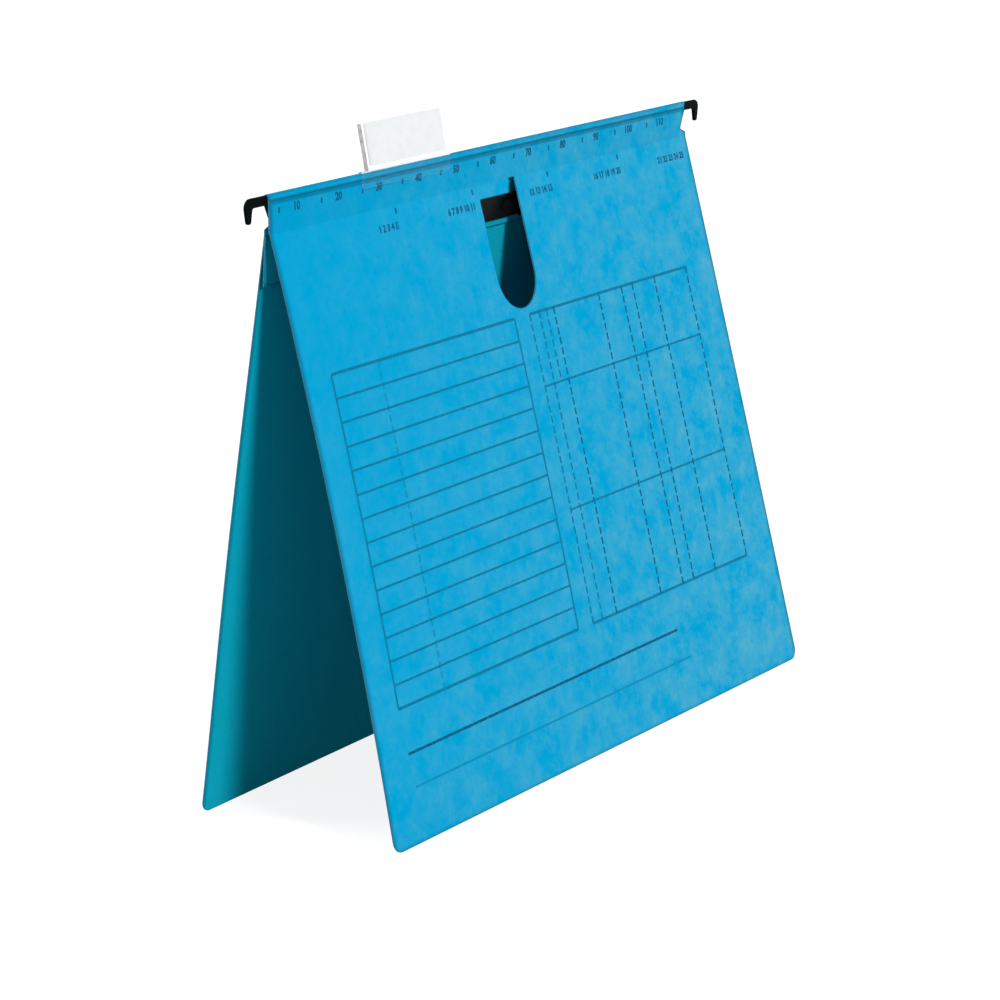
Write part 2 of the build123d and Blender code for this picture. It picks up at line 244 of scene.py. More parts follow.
class TabSettings(PropertyGroup):
    place: length("Place", "Middle of the tab from the folder's middle", -0.0653)
    width: length("Width", "Width of the tab", 0.0585)
    tail: length("Tail", "How far the clip runs past the window on the left", 0.004)
    wall: length("Wall", "Wall of the clip", 0.0006)
    clip_front: length("Clip front", "Front inner face of the clip from the rail", 0.00195)
    clip_rear: length("Clip rear", "Rear inner face of the clip from the rail", 0.0015)
    clip_top: length("Clip top", "Inner top of the clip above the fold", 0.00025)
    front_lip: length("Front lip", "Length of the front lip below the fold", 0.0062)
    rear_lip: length("Rear lip", "Length of the rear lip below the fold", 0.006)
    lean: degrees("Lean", "Backward lean of the window", 11)
    depth: length("Depth", "Depth of the window from front to back", 0.00209)
    height: length("Height", "Height of the window", 0.01944)
    foot: length("Foot", "Height of the pocket's floor", 0.0016)
    end_wall: length("End wall", "Wall at the closed end", 0.0008)
    pocket_gap: length("Pocket gap", "Gap of the pocket from front to back", 0.00049)
    pocket_height: length("Pocket height", "Height of the pocket", 0.01704)
    pocket_past: length("Pocket past", "How far the pocket's cut runs past the open end", 0.002)
    label_width: length("Label width", "Width of the label", 0.054)
    label_height: length("Label height", "Height of the label", 0.0168)
    label_thickness: length("Label thickness", "Thickness of the label", 0.00025)
    label_radius: length("Label radius", "Corner radius of the label", 0.0004)
    label_edge: length("Label edge", "Rounding of the label's edges", 0.00005)
    corner_radius: length("Corner radius", "Radius of the window's upper corners", 0.0009)
    edge: length("Edge", "Rounding of the edges", 0.00012)


class PrintSettings(PropertyGroup):
    height: length("Height", "How far the ink stands on the board", 0.00002)
    line_width: length("Line width", "Width of the ruled lines", 0.0009)
    border_width: length("Border width", "Width of the first and last line of a table", 0.0012)
    column_width: length("Column width", "Width of the upright lines", 0.0011)
    strong_width: length("Strong width", "Width of the upper writing line", 0.00115)
    dash: length("Dash", "Length of a dash", 0.003)
    gap: length("Gap", "Gap between dashes", 0.0013)
    rows: IntProperty(name="Rows", description="Rows of the left table", default=14)
    left_table: lengths(
        "Left table", "Left, right, top and foot of the left table", (-0.1415, -0.0098, 0.0563, 0.188))
    left_column: length("Left column", "Upright line in the left table", -0.1098)
    right_table: lengths(
        "Right table", "Left, right, top and foot of the right table", (0.002, 0.1342, 0.0563, 0.18835))
    right_rows: lengths("Right rows", "Level lines in the right table", (0.0869, 0.1394))
    right_columns: lengths(
        "Right columns", "Dashed lines in the right table", (0.021, 0.058, 0.0772, 0.0866, 0.1058))
    faint_column: length("Faint column", "Fainter line in the right table", 0.0095)
    short_column: length("Short column", "Line in the right table's first row alone", 0.0152)
    upper_line: lengths(
        "Upper line", "Left, right and drop of the upper writing line", (-0.1403, 0.0652, 0.2063))
    lower_line: lengths(
        "Lower line", "Left, right and drop of the lower writing line", (-0.1392, 0.0719, 0.2198))
    group_places: lengths(
        "Number groups", "Middles of the groups of numbers", (-0.083, -0.03, 0.0313, 0.086, 0.142))
    group_drop: length("Group drop", "Middle of the groups below the crease", 0.008)
    group_size: length("Group size", "Size of the grouped numbers", 0.0038)
    group_ticks: lengths("Group ticks", "Ticks above the groups", (-0.0758, -0.02, 0.0388, 0.0971))
    tick_drop: length("Tick drop", "Middle of these ticks below the crease", 0.0021)
    index_start: length("Index start", "First tick of the top row", -0.1532)
    index_pitch: length("Index pitch", "Spacing of the ticks of the top row", 0.0277)
    index_drop: length("Index drop", "Middle of the top row below the fold", 0.0065)
    index_shift: length("Index shift", "Number after its tick", 0.0114)
    index_size: length("Index size", "Size of the numbers of the top row", 0.0044)
    index_count: IntProperty(name="Index count", description="Numbers in the top row", default=11)
    tick_length: length("Tick length", "Length of a tick", 0.0022)
    boldness: FloatProperty(
        name="Boldness", description="Swelling of the numbers, as a share of their size", default=0.05)
    line_colour: colour("Line colour", "Ink of the ruled lines", (0.0, 0.165, 0.31))
    faint_colour: colour("Faint colour", "Ink of the fainter lines", (0.0, 0.25, 0.45))
    dark_colour: colour("Dark colour", "Ink of the numbers and the strong line", (0.0, 0.08, 0.18))


class StageSettings(PropertyGroup):
    azimuth: degrees("Azimuth", "Direction the camera looks from", -57.863)
    elevation: degrees("Elevation", "Camera's angle above the horizon", 14.001)
    distance: length("Distance", "Camera to target", 1.404815)
    shift_right: length("Target right", "Target to the right of the top fold's middle", 0.002657)
    shift_up: length("Target up", "Target above the top fold's middle", -0.146481)
    lens: FloatProperty(name="Lens", description="Focal length in millimetres", default=123.066)
    sensor: FloatProperty(name="Sensor", description="Width of the sensor in millimetres", default=36.0)
    sight: length("Sight", "Farthest thing that the camera sees", 20.0)
    floor_size: length("Floor size", "Side of the floor", 6.0)
    floor_dark: grey("Floor dark", "Darker tone of the floor", 0.24)
    floor_pale: grey("Floor pale", "Paler tone of the floor", 0.26)
    floor_bounce: grey("Floor bounce", "Tone of the floor that lights the folder from below", 0.3)
    floor_glow: FloatProperty(name="Floor glow", description="Brightness added to the floor", default=0.84)
    key_light: lamp("Key light", "front light", (2.4, 13.0, 32.0, 12.0))
    side_light: lamp("Side light", "light from the open end", (1.9, 82.0, 10.0, 12.0))
    back_light: lamp("Back light", "light from behind", (2.3, 165.0, 48.0, 25.0))
    lamp_distance: length("Lamp distance", "Distance of the lamps", 2.0)
    ambient: FloatProperty(name="Ambient", description="Strength of the surrounding light", default=0.17)


class FolderSettings(PropertyGroup):
    board: PointerProperty(type=BoardSettings, name="Board", description="Sheets of board")
    cuts: PointerProperty(type=CutSettings, name="Cuts", description="Notch, thumb cut-out and slit")
    flap: PointerProperty(type=FlapSettings, name="Flap", description="Filing flap")
    fastener: PointerProperty(
        type=FastenerSettings, name="Fastener", description="Compressor bar and slides")
    hook: PointerProperty(type=HookSettings, name="Hooks", description="Hooks at the rail's ends")
    tab: PointerProperty(type=TabSettings, name="Tab", description="Clear tab and its label")
    ink: PointerProperty(type=PrintSettings, name="Print", description="Ruled form and index numbers")
    stage: PointerProperty(type=StageSettings, name="Stage", description="Floor, light and camera")


# Outlines and meshes


def turned(first, last):
    """Signed turn from one direction to another, by the shorter way."""
    return (last - first + pi) % (2 * pi) - pi


def rounded(corners, steps=6):
    """Closed outline through (across, along, radius) corners, with an arc where the radius isn't 0."""
    points = []
    for i, (across, along, radius) in enumerate(corners):
        here = Vector((across, along))
        if not radius:
            points.append(here)
            continue
        before = (Vector(corners[i - 1][:2]) - here).normalized()
        after = (Vector(corners[(i + 1) % len(corners)][:2]) - here).normalized()
        half = before.angle(after) / 2
        centre = here + (before + after).normalized() * (radius / sin(half))
        start = here + before * (radius / tan(half)) - centre
        end = here + after * (radius / tan(half)) - centre
        first = atan2(start.y, start.x)
        turn = turned(first, atan2(end.y, end.x))
        for k in range(steps + 1):
            angle = first + turn * k / steps
            points.append(centre + radius * Vector((cos(angle), sin(angle))))
    return points


def plate(across, along, wide, high, radius=0):
    """Closed outline of a plate by its middle and its half sizes."""
    sides = ((-1, -1), (1, -1), (1, 1), (-1, 1))
    return rounded([(across + i * wide, along + j * high, radius) for i, j in sides])


def circle(across, along, radius, steps=28):
    """Closed round outline."""
    angles = [2 * pi * k / steps for k in range(steps)]
    return [Vector((across + radius * cos(a), along + radius * sin(a))) for a in angles]


def divided(outline, step, rows=()):
    """The outline with more points: no edge longer than step, and a point on each row that it crosses."""
    points = []
    for p, q in zip(outline, outline[1:] + outline[:1]):
        length = (q - p).length
        if length < CLOSE:
            continue
        crossings = [(row - p.y) / (q.y - p.y) for row in rows if (p.y - row) * (q.y - row) < 0]
        count = ceil(length / step)
        even = [k / count for k in range(1, count)]
        room = min(step, length) / length / 4 if crossings else 0
        shares = crossings + [e for e in even if all(abs(e - c) > room for c in crossings)]
        for share in [0] + sorted(shares):
            place = p.lerp(q, share)
            if not points or (place - points[-1]).length > CLOSE:
                points.append(place)
    return points


def inside(point, loop):
    """True where the point lies within a closed outline."""
    odd = False
    for p, q in zip(loop, loop[1:] + loop[:1]):
        if (p.y > point.y) != (q.y > point.y):
            if point.x < p.x + (q.x - p.x) * (point.y - p.y) / (q.y - p.y):
                odd = not odd
    return odd


def within(point, loops):
    """True where the point lies in the first outline and in none of the others."""
    return inside(point, loops[0]) and not any(inside(point, loop) for loop in loops[1:])


def inset(loop, gap):
    """Points beside an outline, on both of its sides."""
    points = []
    for i, here in enumerate(loop):
        way = (loop[(i + 1) % len(loop)] - loop[i - 1]).normalized()
        aside = Vector((-way.y, way.x)) * gap
        points += [here + aside, here - aside]
    return points


def apart(point, loops, gap):
    """True where the point keeps a gap from every outline."""
    for loop in loops:
        for p, q in zip(loop, loop[1:] + loop[:1]):
            if max(p.y, q.y) < point.y - gap or min(p.y, q.y) > point.y + gap:
                continue
            if max(p.x, q.x) < point.x - gap or min(p.x, q.x) > point.x + gap:
                continue
            way = q - p
            share = min(1, max(0, (point - p).dot(way) / way.length_squared))
            if (p + way * share - point).length < gap:
                return False
    return True


def triangles(loops, points):
    """Points and triangles that fill the first outline and leave the others open."""
    places, edges = [], []
    for loop in loops:
        first = len(places)
        places += loop
        edges += [(first + k, first + (k + 1) % len(loop)) for k in range(len(loop))]
    places += points
    scaled = [p / MILLIMETRE for p in places]
    found, _, faces, *_ = delaunay_2d_cdt(scaled, edges, [], 0, CLOSE, False)
    found = [p * MILLIMETRE for p in found]
    kept = []
    for face in faces:
        middle = sum((found[i] for i in face), Vector((0, 0))) / len(face)
        if within(middle, loops):
            kept.append(tuple(face))
    used = sorted({i for face in kept for i in face})
    number = {old: new for new, old in enumerate(used)}
    return [found[i] for i in used], [tuple(number[i] for i in face) for face in kept]


def finish_mesh(name, mesh, materials, sharp=SHEET_ANGLE):
    """Object for a finished mesh, smooth but for its sharp edges."""
    for material in materials:
        mesh.materials.append(material)
    mesh.polygons.foreach_set("use_smooth", [True] * len(mesh.polygons))
    mesh.set_sharp_from_angle(angle=radians(sharp))
    mesh.update()
    obj = bpy.data.objects.new(name, mesh)
    bpy.context.scene.collection.objects.link(obj)
    return obj


def sheet(name, outline, holes, rows, step, bend, thickness, materials, side=0):
    """Closed sheet of board, cut in the flat and laid on a bent surface; its rim takes the second material.

    The surface is the board's outer side where side is 0, and its inner side where it is 1; the inner
    side's colour is a painted shade tint."""
    loops = [divided(loop, step, rows) for loop in [outline] + holes]
    low = min(p.x for p in loops[0])
    high = max(p.x for p in loops[0])
    count = round((high - low) / step)
    columns = [low + (high - low) * k / count for k in range(1, count)]
    grid = [Vector((column, row)) for row in rows for column in columns]
    beside = [place for loop in loops for place in inset(loop, BORDER_WIDTH)]
    points = [p for p in grid if within(p, loops) and apart(p, loops, ROW_GAP)]
    points += [p for p in beside if within(p, loops) and apart(p, loops, 0.7 * BORDER_WIDTH)]
    flat, faces = triangles(loops, points)
    laid = [bend(p.x, p.y) for p in flat]
    outer = [place for place, normal in laid]
    inner = [place - normal * thickness for place, normal in laid]
    total = len(flat)
    fronts, sides = [], {}
    for a, b, c in faces:
        normal = laid[a][1] + laid[b][1] + laid[c][1]
        facing = (outer[b] - outer[a]).cross(outer[c] - outer[a]).dot(normal)
        face = (a, b, c) if facing > 0 else (a, c, b)
        fronts.append(face)
        for p, q in zip(face, face[1:] + face[:1]):
            sides[(p, q)] = True
    backs = [tuple(i + total for i in reversed(face)) for face in fronts]
    rim = [(q, p, p + total, q + total) for p, q in sides if (q, p) not in sides]
    mesh = bpy.data.meshes.new(name)
    mesh.from_pydata(outer + inner, [], fronts + backs + rim)
    place = mesh.attributes.new(PLACE, "FLOAT_VECTOR", "POINT")
    values = [v for face in (side, 1) for p in flat for v in (p.x, p.y, face)]
    place.data.foreach_set("vector", values)
    ends = {i for face in rim for i in face}
    border = mesh.attributes.new(BORDER, "FLOAT", "POINT")
    border.data.foreach_set("value", [float(i in ends) for i in range(2 * total)])
    mesh.polygons.foreach_set("material_index", [0] * (2 * len(fronts)) + [1] * len(rim))
    return finish_mesh(name, mesh, materials)


def prism_mesh(name, outline, holes, low, high, lay, edge):
    """Closed solid: an outline with holes, run from a low to a high depth, with its sharp edges rounded."""
    flat, faces = triangles([outline] + holes, [])
    total = len(flat)
    work = bmesh.new()
    for depth in (low, high):
        for p in flat:
            work.verts.new(lay(p.x, p.y, depth))
    work.verts.ensure_lookup_table()
    sides = set()
    for face in faces:
        work.faces.new([work.verts[i] for i in reversed(face)])
        work.faces.new([work.verts[i + total] for i in face])
        sides.update(zip(face, face[1:] + face[:1]))
    for p, q in sides:
        if (q, p) not in sides:
            work.faces.new([work.verts[i] for i in (p, q, q + total, p + total)])
    bmesh.ops.recalc_face_normals(work, faces=work.faces[:])
    bmesh.ops.dissolve_limit(work, angle_limit=FLAT_TURN, verts=work.verts[:], edges=work.edges[:])
    if edge:
        crisp = [e for e in work.edges if e.is_manifold and e.calc_face_angle() > EDGE_TURN]
        bmesh.ops.bevel(work, geom=crisp, offset=edge, offset_type="OFFSET", segments=2, profile=0.5,
                        affect="EDGES", clamp_overlap=True)
    bmesh.ops.recalc_face_normals(work, faces=work.faces[:])
    mesh = bpy.data.meshes.new(name)
    work.to_mesh(mesh)
    work.free()
    return mesh


class Print:
    """Ink on a board: thin closed strips and numbers, laid on its surface."""

    def __init__(self, settings):
        self.ink = settings.ink
        self.board = settings.board
        self.bend = front_surface(settings.board)
        self.points, self.faces, self.shades = [], [], []

    def add(self, flat, faces, shade):
        """Lays flat points with their lifts on the board, and joins them by faces."""
        start = len(self.points)
        for across, along, lift in flat:
            place, normal = self.bend(across, along)
            self.points.append(place + normal * lift)
        self.faces += [tuple(start + i for i in face) for face in faces]
        self.shades += [INKS.index(shade)] * len(faces)

    def strip(self, path, width, shade):
        """Adds a closed strip along a straight path."""
        way = (path[-1] - path[0]).normalized()
        aside = Vector((-way.y, way.x)) * (width / 2)
        lift = self.ink.height
        flat = [(*(p + aside * side), high) for p in path
                for side, high in ((-1, -lift), (1, -lift), (1, lift), (-1, lift))]
        last = len(flat) - 4
        faces = [(3, 2, 1, 0), (last, last + 1, last + 2, last + 3)]
        for k in range(0, last, 4):
            for i, j in ((0, 1), (1, 2), (2, 3), (3, 0)):
                faces.append((k + i, k + j, k + 4 + j, k + 4 + i))
        self.add(flat, faces, shade)

    def line(self, start, end, width, shade):
        """Adds a ruled line."""
        start, end = Vector(start), Vector(end)
        count = ceil((end - start).length / self.board.mesh_step)
        self.strip([start.lerp(end, k / count) for k in range(count + 1)], width, shade)

    def tick(self, across, along):
        """Adds a short upright line, centred at a place."""
        half = self.ink.tick_length / 2
        self.line((across, along - half), (across, along + half), self.ink.column_width, "dark_ink")

    def dashes(self, start, end, width, shade):
        """Adds a dashed line."""
        start, end = Vector(start), Vector(end)
        pitch = self.ink.dash + self.ink.gap
        count = ceil((end - start).length / pitch)
        way = (end - start).normalized()
        for k in range(count):
            first = start + way * (k * pitch)
            last = first + way * min(self.ink.dash, (end - first).length)
            self.strip([first, last], width, shade)

    def number(self, words, across, along, size, shade):
        """Adds plain numbers, centred at a place."""
        curve = bpy.data.curves.new("number", "FONT")
        curve.body = words
        curve.size = size
        curve.align_x = "CENTER"
        curve.align_y = "CENTER"
        curve.resolution_u = 3
        curve.extrude = self.ink.height
        curve.offset = size * self.ink.boldness
        text = bpy.data.objects.new("number", curve)
        bpy.context.scene.collection.objects.link(text)
        work = bmesh.new()
        work.from_mesh(text.evaluated_get(bpy.context.evaluated_depsgraph_get()).to_mesh())
        bmesh.ops.remove_doubles(work, verts=work.verts[:], dist=WELD)
        bmesh.ops.recalc_face_normals(work, faces=work.faces[:])
        flat = [(across + v.co.x, along - v.co.y, v.co.z) for v in work.verts]
        self.add(flat, [tuple(v.index for v in face.verts) for face in work.faces], shade)
        work.free()
        bpy.data.objects.remove(text)
        bpy.data.curves.remove(curve)

    def piece(self, name):
        """Object of all that was added."""
        mesh = bpy.data.meshes.new(name)
        mesh.from_pydata(self.points, [], self.faces)
        mesh.polygons.foreach_set("material_index", self.shades)
        colours = (self.ink.line_colour, self.ink.faint_colour, self.ink.dark_colour)
        inks = [shared(ink, ink_material, ink, tone, self.board) for ink, tone in zip(INKS, colours)]
        return finish_mesh(name, mesh, inks)


# Surfaces of the folder, in metres: across the folder and along the board from a crease


def mixed(first, last, share):
    """Direction between two directions."""
    return first.lerp(last, min(1, max(0, share))).normalized()


def front_surface(board):
    """Outer face of the front board: the margin above the crease, the bowed and twisted leaf below it."""
    lean = board.front_lean
    upright = Vector((0, -1, 0))
    leaning = Vector((0, -cos(lean), sin(lean)))

    def bend(x, s):
        normal = mixed(upright, leaning, 0.5 + s / (2 * board.crease_reach))
        if s <= 0:
            return Vector((x, FRONT_CREASE.y, FRONT_CREASE.z - s)), normal
        share = (x / HALF_WIDTH + 1) / 2
        down = s / board.front_length
        hump = 4 * down * (1 - down)
        left = -board.left_turn * down + board.left_bow * hump
        right = board.right_turn * down + board.right_bow * hump
        forward = left + (right - left) * share
        place = Vector((x, FRONT_CREASE.y - s * sin(lean) - forward, FRONT_CREASE.z - s * cos(lean)))
        return place, normal

    return bend


def back_surface(board):
    """Outer face of the back board: the leaf below the crease, the rear leg, the fold and the front leg."""
    lean = board.back_lean
    rear = Vector((0, 1, 0))
    leaning = Vector((0, cos(lean), sin(lean)))
    leg = MARGIN_HEIGHT - FOLD_RADIUS
    fold = pi * FOLD_RADIUS
    centre = Vector((0, RAIL_Y, TOP - FOLD_RADIUS))

    def bend(x, s):
        if s > -leg:
            normal = mixed(rear, leaning, 0.5 + s / (2 * board.crease_reach))
            if s <= 0:
                return Vector((x, BACK_CREASE.y, BACK_CREASE.z - s)), normal
            down = s / board.back_length
            bow = board.back_bow * 16 * down ** 2 * (1 - down) ** 2
            place = Vector((x, BACK_CREASE.y + s * sin(lean) + bow, BACK_CREASE.z - s * cos(lean)))
            return place, normal
        angle = min(pi, (-s - leg) / FOLD_RADIUS)
        normal = Vector((0, cos(angle), sin(angle)))
        place = centre + normal * FOLD_RADIUS + Vector((x, 0, 0))
        return place - Vector((0, 0, max(0, -s - leg - fold))), normal

    return bend


def back_place(board):
    """Place by distance across, along the back leaf below its crease, and in from its outer face."""
    lean = board.back_lean
    down = Vector((0, sin(lean), -cos(lean)))
    out = Vector((0, cos(lean), sin(lean)))
    return lambda x, s, depth: Vector((x, 0, 0)) + BACK_CREASE + down * s - out * depth


def rows_between(start, end, step, dense=(), keep=0.0012):
    """Rows of points from start to end, with dense rows kept and even ones where these leave room."""
    count = max(2, round((end - start) / step))
    even = [start + (end - start) * k / count for k in range(1, count)]
    return sorted(list(dense) + [e for e in even if all(abs(e - d) > keep for d in dense)])


def crease_rows(board):
    """Close rows across the strip that bends at a crease."""
    return [board.crease_reach * k / 6 for k in range(-7, 8)]


def notch_side(cuts, drop):
    """Place across of the notch's slanted side, at a drop below the top fold."""
    return HALF_WIDTH - cuts.notch_depth * (drop - cuts.notch_start) / cuts.notch_height


def notch_corners(cuts, top, side):
    """Corners of the slanted notch at one end of a margin, from the top down; top is the fold's place."""
    deep = cuts.notch_start + cuts.notch_height
    return [
        (side * HALF_WIDTH, top + cuts.notch_start, 0),
        (side * (HALF_WIDTH - cuts.notch_depth), top + deep, cuts.notch_radius),
        (side * HALF_WIDTH, top + deep + cuts.notch_heel, 0),
    ]


def cutout_outline(cuts):
    """Closed outline of the thumb cut-out with its slit, below the crease."""
    left = cuts.cutout_shift - cuts.cutout_width / 2
    right = cuts.cutout_shift + cuts.cutout_width / 2
    radius = cuts.cutout_width / 2
    middle = cuts.cutout_drop + cuts.cutout_length - radius
    corners = rounded([
        (right, middle, 0),
        (right, 0, 0),
        (right - cuts.slit_top_width, 0, cuts.slit_top_radius),
        (right - cuts.slit_width, cuts.cutout_drop, cuts.slit_radius),
        (left, cuts.cutout_drop, cuts.cutout_radius),
        (left, middle, 0),
    ])
    round_end = [
        Vector((cuts.cutout_shift - radius * cos(a), middle + radius * sin(a)))
        for a in (pi * k / 32 for k in range(1, 32))
    ]
    return corners + round_end


# Materials


class Shader:
    """Adds and links the shader nodes of one material or world."""

    def __init__(self, owner):
        owner.use_nodes = True
        self.tree = owner.node_tree
        self.tree.nodes.clear()

    def add(self, kind, values=None, **settings):
        """Adds a node with its options, and links or sets its inputs."""
        node = self.tree.nodes.new("ShaderNode" + kind)
        for key, value in settings.items():
            setattr(node, key, value)
        for key, value in (values or {}).items():
            if isinstance(value, bpy.types.NodeSocket):
                self.tree.links.new(value, node.inputs[key])
            else:
                node.inputs[key].default_value = value
        return node

    def place(self):
        """Place on the piece itself."""
        return self.add("TexCoord").outputs["Object"]

    def noise(self, place, scale, detail=3.0, roughness=0.55):
        """Noise at a place."""
        values = {"Vector": place, "Scale": scale, "Detail": detail, "Roughness": roughness}
        return self.add("TexNoise", values).outputs["Fac"]

    def ranged(self, value, low, high, start=0.0, end=1.0):
        """The value, brought from one range to another and kept within it."""
        values = {"Value": value, "From Min": low, "From Max": high, "To Min": start, "To Max": end}
        return self.add("MapRange", values, clamp=True).outputs["Result"]

    def mixed(self, factor, first, last):
        """Colour between two colours."""
        node = self.add("Mix", {0: factor, 6: first, 7: last}, data_type="RGBA", clamp_factor=True)
        return node.outputs[2]

    def maths(self, kind, first, second):
        """Result of a sum of two values."""
        return self.add("Math", {0: first, 1: second}, operation=kind).outputs[0]

    def apart(self, value, place):
        """Distance of a value from a place."""
        return self.maths("ABSOLUTE", self.maths("SUBTRACT", value, place), 0.0)

    def shown(self):
        """1 on the rays that show a thing to the camera, straight, mirrored or through glass."""
        path = self.add("LightPath").outputs
        mirrored = self.maths("MAXIMUM", path["Is Camera Ray"], path["Is Glossy Ray"])
        return self.maths("MAXIMUM", mirrored, path["Is Transmission Ray"])

    def bump(self, height, strength, distance, under=None):
        """Relief by height, over the relief under it if there is one."""
        values = {"Height": height, "Strength": strength, "Distance": distance}
        if under:
            values["Normal"] = under
        return self.add("Bump", values).outputs["Normal"]

    def surface(self, **values):
        """Ends the material in one surface with these inputs."""
        named = {key.replace("_", " "): value for key, value in values.items()}
        shader = self.add("BsdfPrincipled", named)
        self.tree.links.new(shader.outputs[0], self.add("OutputMaterial").inputs["Surface"])


def paint(name):
    """New material and its shader."""
    material = bpy.data.materials.new(name)
    return material, Shader(material)


def rgba(colour):
    """Colour with full cover."""
    return (*colour, 1.0)


def shaded(colour, share):
    """The colour at a share of its brightness."""
    return (*(share * c for c in colour), 1.0)


def board_material(board):
    """Recycled board, dyed through: clouds, wisps, specks and pale fibres; painted shade darkens its cut
    edges, side and lower edges, the seam, the strip below it and the fold's crest, and a painted shade tint
    colours its inner side.
    """
    material, shader = paint("recycled_board")
    place = shader.add("Attribute", attribute_name=PLACE).outputs["Vector"]
    border = shader.add("Attribute", attribute_name=BORDER).outputs["Fac"]
    parts = shader.add("SeparateXYZ", {"Vector": place})
    across, along, side = (parts.outputs[k] for k in ("X", "Y", "Z"))
    clouds = shader.noise(place, 55.0, 5.0, 0.62)
    wisps = shader.noise(place, 170.0, 4.0, 0.65)
    specks = shader.noise(place, 480.0, 3.0)
    stretched = shader.add("Mapping", {"Vector": place, "Scale": (0.35, 1.0, 1.0)}).outputs["Vector"]
    fibres = shader.noise(stretched, 1500.0, 2.0, 0.7)
    # painted shade: the inner side takes the shade tint of the board's colour
    face = shader.mixed(side, rgba(board.colour), rgba(board.inner_shade_colour))
    pale = shader.mixed(side, rgba(board.pale_colour), rgba(board.inner_pale_shade_colour))
    drift = shader.maths("ADD", shader.ranged(across, -HALF_WIDTH, HALF_WIDTH, 0.05, 0.8),
                         shader.ranged(along, 0.0, board.front_length, 0.0, 0.3))
    patches = shader.maths("ADD", shader.ranged(clouds, 0.4, 0.66, 0.0, 0.75),
                           shader.ranged(wisps, 0.46, 0.68, 0.0, 0.55))
    colour = shader.mixed(shader.maths("MULTIPLY", patches, drift), face, pale)
    dark = shader.ranged(specks, 0.54, 0.75, 0.0, 0.25)
    colour = shader.mixed(dark, colour, shaded(board.colour, 0.66))
    colour = shader.mixed(shader.ranged(fibres, 0.6, 0.78, 0.0, 0.18), colour, rgba(board.fibre_colour))
    depth = shader.add("SeparateXYZ", {"Vector": shader.place()}).outputs["Y"]
    front = shader.ranged(depth, RAIL_Y - MILLIMETRE, RAIL_Y, 1.0, 0.0)
    # painted shade: a dark strip below the seam, on the front of the margin
    below_seam = shader.apart(along, FRONT_CREASE.z - MARGIN_HIGH.z)
    lip = shader.ranged(below_seam, board.lip_shade_width, board.lip_shade_end, 0.5, 0.0)
    # painted shade: a dark line at every cut edge, shade above the seam, a darker fold crest, and darker
    # strips at the side and lower edges
    marks = (
        shader.ranged(border, 0.0, 0.7, 0.0, 0.8),
        shader.ranged(along, SEAM, SEAM + board.seam_shade, 0.8, 0.0),
        shader.ranged(shader.apart(along, CREST), 0.6 * FOLD_RADIUS, 1.7 * FOLD_RADIUS, 0.45, 0.0),
        shader.ranged(shader.apart(across, 0.0), HALF_WIDTH - board.side_edge_shade, HALF_WIDTH, 0.0, 0.65),
        shader.ranged(along, board.front_length - board.foot_edge_shade, board.front_length, 0.0, 0.4),
    )
    painted_shade = shader.maths("MULTIPLY", lip, front)
    for mark in marks:
        painted_shade = shader.maths("MAXIMUM", painted_shade, mark)
    colour = shader.mixed(painted_shade, colour, shaded(board.colour, 0.28))
    rough = shader.ranged(specks, 0.3, 0.7, 0.6, 0.78)
    waves = shader.bump(clouds, 0.2, 0.0004)
    grain = shader.bump(fibres, 0.2, 0.00005, waves)
    shader.surface(Base_Color=colour, Roughness=rough, Specular_IOR_Level=0.01, Normal=grain)
    return material


def rim_material():
    """Cut edge of the board, dull and fibrous."""
    material, shader = paint("board_cut_edge")
    place = shader.add("Attribute", attribute_name=PLACE).outputs["Vector"]
    fibres = shader.noise(place, 900.0, 3.0, 0.65)
    thick = shader.ranged(fibres, 0.35, 0.7)
    colour = shader.mixed(thick, (0.02, 0.11, 0.17, 1.0), (0.06, 0.24, 0.34, 1.0))
    rough = shader.ranged(fibres, 0.3, 0.7, 0.75, 0.9)
    shader.surface(Base_Color=colour, Roughness=rough, Specular_IOR_Level=0.1,
                   Normal=shader.bump(fibres, 0.4, 0.0001))
    return material


def ink_material(name, tone, board):
    """Printing ink that lies unevenly on the board."""
    material, shader = paint(name)
    place = shader.place()
    patches = shader.noise(place, 900.0, 3.0, 0.65)
    thin = shader.ranged(patches, 0.45, 0.75, 0.0, 0.5)
    rough = shader.ranged(patches, 0.3, 0.7, 0.5, 0.7)
    shader.surface(Base_Color=shader.mixed(thin, rgba(tone), rgba(board.colour)), Roughness=rough,
                   Specular_IOR_Level=0.1, Normal=shader.bump(patches, 0.15, 0.00003))
    return material


def black_material(name, rough, grain, shine):
    """Moulded black plastic with a fine grain."""
    material, shader = paint(name)
    place = shader.place()
    fine = shader.noise(place, grain, 2.0)
    broad = shader.noise(place, 140.0, 3.0)
    tone = shader.mixed(shader.ranged(broad, 0.3, 0.75), rgba(BLACK), shaded(BLACK, 2.0))
    dull = shader.ranged(broad, 0.3, 0.7, rough - 0.07, rough + 0.09)
    shader.surface(Base_Color=tone, Roughness=dull, Specular_IOR_Level=shine,
                   Normal=shader.bump(fine, 0.18, 0.00004))
    return material


def rail_material():
    """Black paint on strip steel, with the steel's grain along its length."""
    material, shader = paint("rail_paint")
    place = shader.place()
    along = shader.add("Mapping", {"Vector": place, "Scale": (0.05, 1.0, 1.0)}).outputs["Vector"]
    lines = shader.noise(along, 3200.0, 2.0, 0.6)
    broad = shader.noise(place, 120.0, 3.0)
    grain = shader.ranged(lines, 0.3, 0.7)
    tone = shader.mixed(grain, (0.016, 0.016, 0.0176, 1.0), (0.02, 0.02, 0.022, 1.0))
    rough = shader.ranged(broad, 0.3, 0.7, 0.32, 0.5)
    shader.surface(Base_Color=tone, Roughness=rough, Normal=shader.bump(lines, 0.12, 0.00003))
    return material


